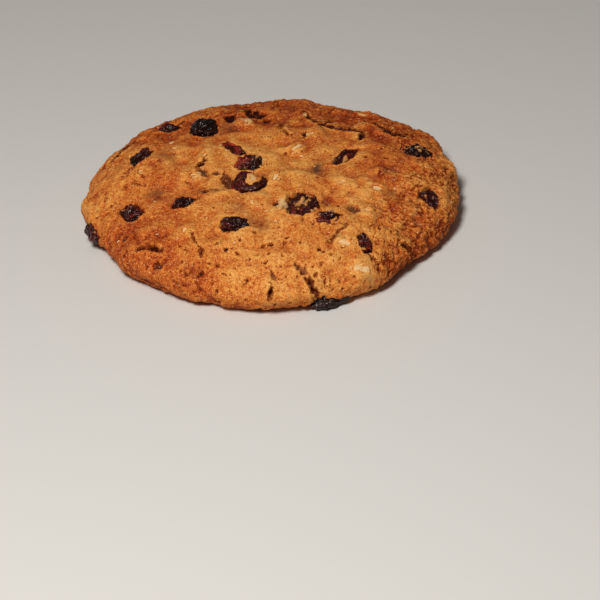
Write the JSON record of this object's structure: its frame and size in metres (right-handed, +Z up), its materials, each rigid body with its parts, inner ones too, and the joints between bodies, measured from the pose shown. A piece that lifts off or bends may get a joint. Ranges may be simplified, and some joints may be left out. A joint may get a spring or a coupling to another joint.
{
  "type": "oatmeal raisin cookie",
  "caption": "Round chewy cookie with a craggy browned crust, set with wrinkled raisins and oat flakes, flat underneath.",
  "frame": {"origin": "centre of the outline's box, on the flat base that the cookie rests on", "axes": "+Z up through the cookie's thickness, +Y towards its back edge, +X to its right"},
  "size_m": [0.0978, 0.0966, 0.0177],
  "materials": {
    "dough": "baked dough, golden brown and matt, darker in its cracks and at the back edge",
    "raisin": "dark wrinkled raisin skin with a soft gloss"
  },
  "bodies": {
    "root": {"cookie": "dough", "raisin_01": "raisin", "raisin_02": "raisin", "raisin_03": "raisin", "raisin_04": "raisin", "raisin_05": "raisin", "raisin_06": "raisin", "raisin_07": "raisin", "raisin_08": "raisin", "raisin_09": "raisin", "raisin_10": "raisin", "raisin_11": "raisin", "raisin_12": "raisin", "raisin_13": "raisin", "raisin_14": "raisin", "raisin_15": "raisin", "raisin_16": "raisin", "raisin_17": "raisin", "raisin_18": "raisin"}
  },
  "joints": []
}
